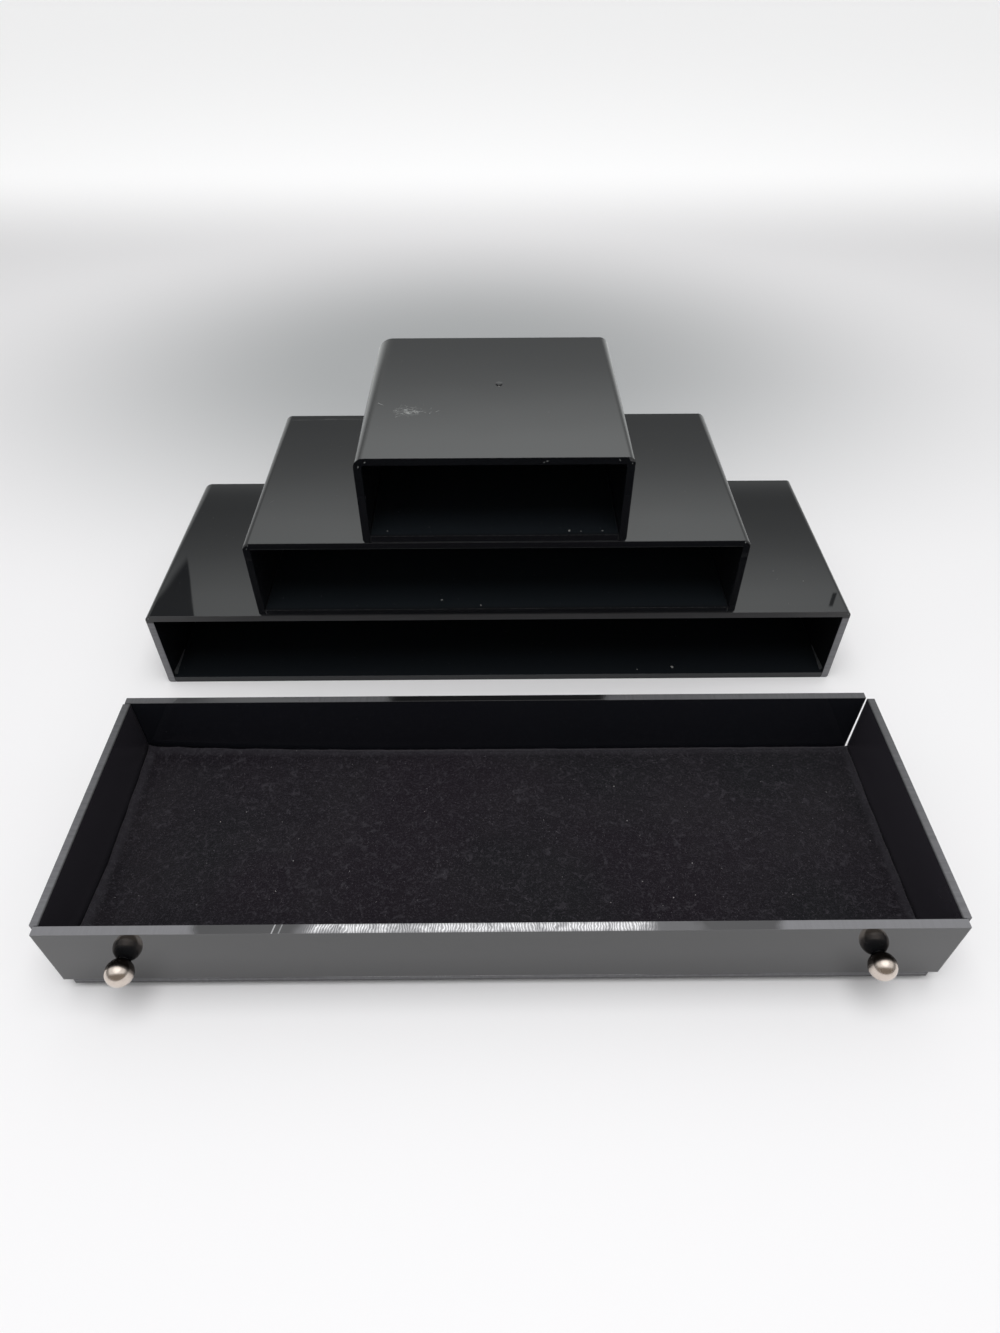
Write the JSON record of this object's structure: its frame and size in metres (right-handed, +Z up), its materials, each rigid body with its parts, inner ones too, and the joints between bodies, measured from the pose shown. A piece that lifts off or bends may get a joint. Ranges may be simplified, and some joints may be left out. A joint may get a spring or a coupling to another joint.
{
  "type": "valet box",
  "caption": "Stepped black acrylic valet box: stacked open-fronted compartments with bent tops over a wide felt-lined drawer with ball knobs, shown pulled out.",
  "frame": {"origin": "middle of the case's underside, on the surface it stands on", "axes": "+Z up, +X to the right along the case's width, +Y from the open fronts to the backs"},
  "size_m": [0.305, 0.26, 0.1158],
  "materials": {
    "black_acrylic": "polished cast acrylic sheet with matt sawn edges on the drawer",
    "black_felt": "short-pile felt, dusty",
    "nickel": "polished nickel plate",
    "screw_steel": "zinc-plated steel"
  },
  "bodies": {
    "case": {"lower_shell": "black_acrylic", "lower_floor": "black_acrylic", "lower_back": "black_acrylic", "middle_shell": "black_acrylic", "middle_floor": "black_acrylic", "middle_back": "black_acrylic", "upper_shell": "black_acrylic", "upper_floor": "black_acrylic", "upper_back": "black_acrylic"},
    "drawer": {"drawer_front": "black_acrylic", "drawer_back": "black_acrylic", "drawer_left_wall": "black_acrylic", "drawer_right_wall": "black_acrylic", "drawer_floor": "black_acrylic", "felt_liner": "black_felt", "left_knob": "nickel", "right_knob": "nickel", "left_knob_screw": "screw_steel", "right_knob_screw": "screw_steel"}
  },
  "joints": [
    {"name": "drawer_slide", "type": "slide", "parent": "case", "child": "drawer", "axis": [0, 1, 0], "range_m": [0, 0.146]}
  ]
}
